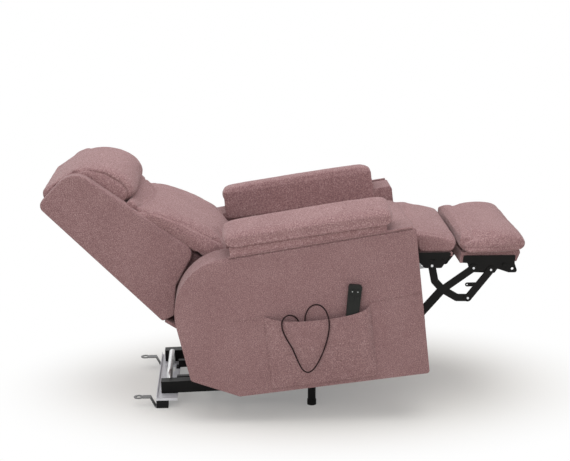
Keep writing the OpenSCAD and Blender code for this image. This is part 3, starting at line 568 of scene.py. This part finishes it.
apron_out, apron_in = 256.6, 270.0
for side, hand in sides:
    arm = lifted(f"{side}_arm_pad", f"{side}_arm_cushion")
    joined(arm, wad(
        "apron", chair, (hand * apron_in, 61, 556), (hand * apron_out, 625, 668), 0.004, apron_corner))
    swollen(arm, 0.0050, 0.0025, arm_rests)
    pressed(arm, [(arm_end_seam, 0.0016, 5)])
    padded(arm, "chair", "cover", 0.75, f"{side}_arm_pad")

hinge_forward, hinge_up = 0, 403
recline = math.radians(38.6)


def on_back(place):
    """(across, out of the cushion, up the back) in millimetres, from a chair point."""
    forward, up = place[1] - hinge_forward, place[2] - hinge_up
    return (place[0], forward * math.cos(recline) + up * math.sin(recline),
            up * math.cos(recline) - forward * math.sin(recline))


def back(across, out, along):
    """A point of the reclined back in millimetres, as a point of the row in metres."""
    return chair(across, hinge_forward + out * math.cos(recline) - along * math.sin(recline),
                 hinge_up + out * math.sin(recline) + along * math.cos(recline))


# A plain neck panel closes the gap between the lumbar cushion and the headrest roll.
# Its gussets reach down to the front edges of the wings.
wing_foot, wing_slope = 165, 0.168


def gusset_corner(across, out, along):
    """The gusset follows the wings' front edges and thins out at its top."""
    thinner = 26 if out > 0 and along > 300 else 0
    return across, out + 76.5 - wing_slope * (along - wing_foot) - thinner, along


def lumbar_rests(p):
    across, out, along = on_back(p)
    return along > 396 or out < 84 - wing_slope * (along - wing_foot)


def top_seam(p):
    """An arched seam between the neck panel and the lumbar cushion."""
    across, out, along = on_back(p)
    return along - 374 - 32 * (across / 230) ** 2 if out > 25 else far_off


def end_line(line, inner):
    """A seam on both ends of a cushion of the back, further out than inner."""
    distance = beside(line)
    return lambda p: distance(*on_back(p)[1:]) if abs(p[0]) > inner else far_off


neck = wad("neck", back, (-238, 8, 372), (238, 52, 440), 0.008)
gusset = wad("gusset", back, (-249, -6, 160), (249, 30, 396), 0.008, gusset_corner)
lumbar = joined(lifted("lumbar_cushion", "back_cushion"), neck, gusset)
swollen(lumbar, 0.0065, 0.008, lumbar_rests)
side_seam = end_line([(34, 404), (62, 366), (84, 330), (112, 262), (131, 195), (152, 120)], 226)
pressed(lumbar, [(top_seam, 0.0050, 4.5), (side_seam, 0.0045, 3.5)])
padded(lumbar, "back", "cover", 0.7, "lumbar_cushion")


# The headrest roll is carried over the top of the frame by a collar.
def collar_corner(across, out, along):
    """The collar's top leans forward at the rear and runs down into the roll at the front."""
    return across, out + (20 if along > 650 and out < 0 else 0), along - (32 if out > 0 else 0)


def head_rests(p):
    across, out, along = on_back(p)
    return out < -100 or (abs(across) > 203 and out < 0)


collar = wad("collar", back, (-209, -166, 634), (209, 2, 673), 0.016, collar_corner)
head = joined(lifted("headrest_cushion", "head_cushion"), collar)
swollen(head, 0.0065, 0.008, head_rests)
end_seam = end_line([
    (-103, 652), (-64, 650), (-28, 641), (14, 615), (48, 562), (62, 508), (60, 470), (40, 446), (0, 440),
], 178)
pressed(head, [(end_seam, 0.0055, 3.2)])
padded(head, "back", "cover", 0.75, "headrest_cushion")

# The footrest cushion comes close up to the flap behind it, so its heel is filled out.
heel = wad("footrest_heel", chair, (-250, 850.5, 474), (250, 900, 508), 0.004,
           lambda across, forward, up: (across, forward, up + (4 if forward > 880 else 0)))
rest = joined(lifted("footrest_pad", "footrest_cushion"), heel)
swollen(rest, 0.0060, 0.010, lambda p: p[2] < 458 - 0.09 * (p[1] - 876))
pressed(rest, [(lambda p: p[2] - 476 + 0.1 * (p[1] - 862) if p[1] < 1060 else far_off, 0.0024, 4)])
padded(rest, "footrest", "cover", 0.7, "footrest_pad")

# ---- Back shell: wings, rear panel, lower cover and the foam core ----
# Plywood wings under thick wadding, a stapled rear panel, and a loose tongue of cloth
# that closes the gap over the hinge.

for side in ("left", "right"):
    wing = edged(f"{side}_wing", f"{side}_wing_cover", 0.013, segments=5)
    upholstered(wing, "back", "cover_dark", box_cloth, f"{side}_wing")
for node, name, width in (
    ("rear_panel", "rear_panel_cover", 0.004),
    ("lower_back_cover", "hinge_cover", 0.0022),
    ("back_foam", "back_core", 0.010),
):
    part = edged(node, name, width)
    upholstered(part, "back", "foam" if node == "back_foam" else "cover_dark", box_cloth, node)

# ---- Arm bands ----
# A padded band of the same cloth between each arm box and its pad, in a lighter copy of it: painted
# light, so that the band looks lit under the shade of the pad's overhang. The lining of the inner side is
# left out here, because the aprons of the arm pads cover it.

bands = edged("arm_strips", "arm_bands", 0.003)
outer_edge, padding_out = 0.38, 0.005
inner_face, inner_reach = 0.2646, 0.2650
for vertex in bands.data.vertices:
    if abs(vertex.co.x) > outer_edge:
        vertex.co.x += math.copysign(padding_out, vertex.co.x)
bpy.ops.object.mode_set(mode="EDIT")
bpy.ops.mesh.select_all(action="DESELECT")
bpy.ops.object.mode_set(mode="OBJECT")
for face in bands.data.polygons:
    reach = max(abs(bands.data.vertices[i].co.x) for i in face.vertices)
    face.select = abs(face.center.x) < inner_face and reach < inner_reach
bpy.ops.object.mode_set(mode="EDIT")
bpy.ops.mesh.delete(type="FACE")
bpy.ops.object.mode_set(mode="OBJECT")
# Painted light: the band's cloth is 22 percent lighter than the box cloth, standing in for the light that
# the pad's overhang shades off.
upholstered(bands, "chair", "cover_dark", cloth("marl_cloth_band_painted_light", 1.22), "arm_strips")

# ---- Side pocket ----
# One layer of the cloth, hemmed along its open edge, sewn to the arm box down both sides
# and along the bottom. It sags between its seams.

pocket_rear, pocket_front, pocket_foot = 160, 514, 112
mouth = [(pocket_rear, 366), (200, 352), (250, 343), (303, 338), (380, 336), (450, 341), (490, 350),
         (pocket_front, 358)]
mouth_line = smooth_line([(a, b, 0) for a, b in mouth], 6)


def mouth_height(forward):
    """Height of the pocket's open edge."""
    for a, b in zip(mouth_line, mouth_line[1:]):
        if a.x <= forward <= b.x:
            return a.y + (b.y - a.y) * (forward - a.x) / max(1e-6, b.x - a.x)
    return mouth_line[-1].y


def pouch(forward, height):
    """How far the cloth stands off the arm box, in millimetres."""
    lift = (height - pocket_foot) / 240
    open_up = 3.0 + 20.0 * min(1.0, max(0.0, lift) ** 0.75 * 1.45)
    from_seam = (forward - pocket_rear) / 95 if forward < 330 else (pocket_front - forward) / 30
    edge = max(0.0, min(1.0, from_seam))
    return 1.2 + (open_up - 1.2) * math.sin(math.pi / 2 * edge) ** 0.8


bpy.ops.mesh.primitive_grid_add(x_subdivisions=60, y_subdivisions=34, size=1)
pocket = bpy.context.object
pocket.name = "side_pocket"
for vertex in pocket.data.vertices:
    forward = pocket_rear + 1 + 352 * (vertex.co.x + 0.5)
    height = pocket_foot + (mouth_height(forward) - pocket_foot) * (vertex.co.y + 0.5)
    ripple = 1.1 * noise.noise(Vector((forward / 60, height / 45, 3)))
    stand = min(23.0, pouch(forward, height) + ripple * (vertex.co.y + 0.5))
    vertex.co = chair(-(side_x + max(0.9, stand)), forward, height)
apply(pocket, "SOLIDIFY", thickness=0.0016, offset=1.0)
hem = []
fold_radius, stitch_radius, side_seam_radius = 0.0013, 0.0007, 0.0012
for drop, radius in ((2.0, fold_radius), (14.0, stitch_radius)):
    hem.append(tube("hem", [
        chair(-(side_x + pouch(f, mouth_height(f) - drop) + 0.9), f, mouth_height(f) - drop)
        for f in [pocket_rear + 4 + i * 6.9 for i in range(51)]], radius))
for forward in (pocket_rear + 3, pocket_front - 3):
    hem.append(tube("hem", [
        chair(-(side_x + 2.2), forward, height)
        for height in (pocket_foot, 180, 250, mouth_height(forward))], side_seam_radius))
joined(pocket, *hem)
edit_all(pocket, bpy.ops.mesh.normals_make_consistent, inside=False)
bpy.ops.object.shade_smooth_by_angle(angle=math.radians(50))
upholstered(pocket, "chair", "cover_dark", box_cloth, "pocket")

# ---- Handset ----
# Two moulded halves in dark grey plastic with four silicone keys, on the end of the cord.

shell = Finish("handset_plastic", Roughness=0.48, Specular_IOR_Level=0.2)
plug(shell.shader.inputs["Base Color"], shell.mix(
    shell.grain(240), (0.010, 0.011, 0.010, 1), (0.019, 0.020, 0.018, 1)))
shell.bumps(shell.grain(2600), 0.2, 0.0002)
# The two upper keys have a plain pale dot each.
key = Finish("key_rubber", Roughness=0.6, Specular_IOR_Level=0.2)
dot_radius, dot_sharpness = 0.0031, 4000
marks = 0
for name in ("button_raise", "button_lower"):
    low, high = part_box(name)
    middle = (Vector(low) + Vector(high)) / 2
    away = key.node("VectorMath", "Value", {0: key.place, 1: tuple(middle)}, operation="DISTANCE")
    dot = (dot_radius - away) * dot_sharpness
    marks = dot.maths("MAXIMUM", dot, marks)
rubber = key.mix(key.grain(500), (0.012, 0.013, 0.012, 1), (0.022, 0.024, 0.022, 1))
plug(key.shader.inputs["Base Color"], key.mix(
    key.node("Clamp", inputs={"Value": marks}), rubber, (0.42, 0.44, 0.43, 1)))
for half in ("handset_back", "handset_front"):
    part = edged(half, half + "_shell", 0.0016)
    part.data.materials.append(shell.material)
    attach(part, "chair")
    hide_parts(half)

# ---- Steel, plastic and wood of the frame, lift base and linkage ----
# Welded tube and plate in satin black powder coat, zinc-plated rods and springs,
# a light grey pressed plate at the rear, moulded black plastic blocks and boxes.

satin, dull = 0.5, 0.13


def painted(name, dark, light, rough, flake=0.10, shine=dull):
    """Powder coat with a fine orange peel, dust in broad patches and small bright chips."""
    finish = Finish(name, Specular_IOR_Level=shine)
    dust = finish.grain(14, 4.0)
    peel = finish.grain(900, 1.0)
    chips = finish.grain(130, 6.0) > 0.735
    coat = finish.mix(dust, dark, light)
    plug(finish.shader.inputs["Base Color"], finish.mix(chips * flake, coat, (0.50, 0.50, 0.49, 1)))
    plug(finish.shader.inputs["Roughness"], dust * 0.22 + (rough - 0.11))
    finish.bumps(peel, 0.18, 0.0003)
    return finish.material


def plated(name, tone, rough):
    """Zinc plate with fine drawing lines and a cloudy bloom."""
    finish = Finish(name, Metallic=0.9)
    bloom = finish.grain(30, 4.0)
    lines = finish.grain(60, 2.0, (1, 18, 18))
    plug(finish.shader.inputs["Base Color"], finish.mix(
        bloom, (tone * 0.75, tone * 0.76, tone * 0.78, 1), (tone, tone, tone, 1)))
    plug(finish.shader.inputs["Roughness"], bloom * 0.2 + lines * 0.12 + (rough - 0.16))
    finish.bumps(lines, 0.08, 0.0002)
    return finish.material


def moulded(name, dark, light, rough):
    """Moulded plastic or rubber with a fine spark-eroded texture."""
    finish = Finish(name, Specular_IOR_Level=0.16)
    speckle = finish.grain(420, 2.0)
    plug(finish.shader.inputs["Base Color"], finish.mix(speckle, dark, light))
    plug(finish.shader.inputs["Roughness"], finish.grain(25, 3.0) * 0.15 + (rough - 0.07))
    finish.bumps(finish.grain(1500), 0.25, 0.0003)
    return finish.material


def timber(name):
    """Pale plywood: long grain with the rings of the veneer."""
    finish = Finish(name, Roughness=0.7)
    rings = finish.node("TexWave", "Fac", {
        "Vector": finish.node("Mapping", inputs={"Vector": finish.place, "Scale": (2.0, 14.0, 14.0)}),
        "Scale": 3.0, "Distortion": 6.0, "Detail": 3.0})
    pores = finish.grain(240, 3.0, (0.15, 1, 1))
    plug(finish.shader.inputs["Base Color"], finish.mix(
        rings * 0.6 + pores * 0.4, (0.42, 0.27, 0.14, 1), (0.62, 0.46, 0.28, 1)))
    finish.bumps(pores, 0.2, 0.0004)
    return finish.material


finishes = {
    "frame_black": painted("black_powder_coat", (0.0035, 0.0033, 0.0035, 1), (0.009, 0.0088, 0.009, 1),
                           0.38),
    "link_dark": painted("dark_link_coat", (0.0045, 0.0042, 0.0040, 1), (0.013, 0.0122, 0.0115, 1), 0.40,
                         0.22),
    "plate_grey": painted("grey_plate_coat", (0.62, 0.63, 0.67, 1), (0.76, 0.77, 0.82, 1), 0.40,
                          0.05, satin),
    "bright_steel": plated("zinc_plate", 0.72, 0.34),
    "motor_grey": moulded("motor_housing", (0.022, 0.023, 0.025, 1), (0.045, 0.046, 0.050, 1), 0.52),
    "black_plastic": moulded("black_moulding", (0.004, 0.004, 0.0044, 1), (0.010, 0.010, 0.011, 1), 0.46),
    "rubber_black": moulded("black_rubber", (0.004, 0.004, 0.004, 1), (0.011, 0.011, 0.011, 1), 0.72),
    "wood": timber("plywood"),
    "key_grey": key.material,
    "cord_brown": sleeve.material,
    "handset_grey": shell.material,
    "cover_dark": box_cloth,
}
# The floor brackets get a far darker zinc than the rest of the bright steel.
dark_zinc = plated("dark_zinc", 0.16, 0.42)
slots = {row["node"]: row["material_slot"] for row in frame["record"]["subparts"]}
for node, part in frame["nodes"].items():
    if slots[node] in finishes:
        for place in part.material_slots:
            place.material = dark_zinc if node == "floor_brackets" else finishes[slots[node]]

# ---- Rivets of the footrest linkage ----
# Peened steel heads, worn bright, on the main pins of the links. Each pair, left and right,
# is one piece.

rivet_steel = plated("rivet_steel", 0.86, 0.28)
head_height = 0.0012
for name, body, forward, up, across, radius in (
    ("knee_rivet", "lower_links", 864, 294, 250.4, 4.2),
    ("rear_rail_rivet", "footrest", 893, 398, 250.4, 4.2),
    ("front_rail_rivet", "footrest", 952, 384, 250.4, 4.2),
    ("mid_rivet", "mid_ottoman", 751, 425, 252.9, 4.6),
):
    heads = []
    for hand in (1, -1):
        centre = chair(hand * across, forward, up) + Vector((hand * head_height / 2, 0, 0))
        bpy.ops.mesh.primitive_cylinder_add(
            vertices=20, radius=radius / 1000, depth=head_height, location=centre,
            rotation=(0, math.radians(90), 0))
        head_piece = bpy.context.object
        bpy.ops.object.transform_apply(location=True, rotation=True, scale=True)
        apply(head_piece, "BEVEL", width=0.0008, segments=3, limit_method="ANGLE",
              angle_limit=math.radians(40))
        heads.append(head_piece)
    rivets = joined(*heads)
    rivets.name = name
    alone(rivets)
    bpy.ops.object.shade_smooth_by_angle(angle=math.radians(35))
    rivets.data.materials.clear()
    rivets.data.materials.append(rivet_steel)
    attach(rivets, body)

size = {"cad": [list(cad_low), list(cad_high)], "visual": [list(corner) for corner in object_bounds()]}
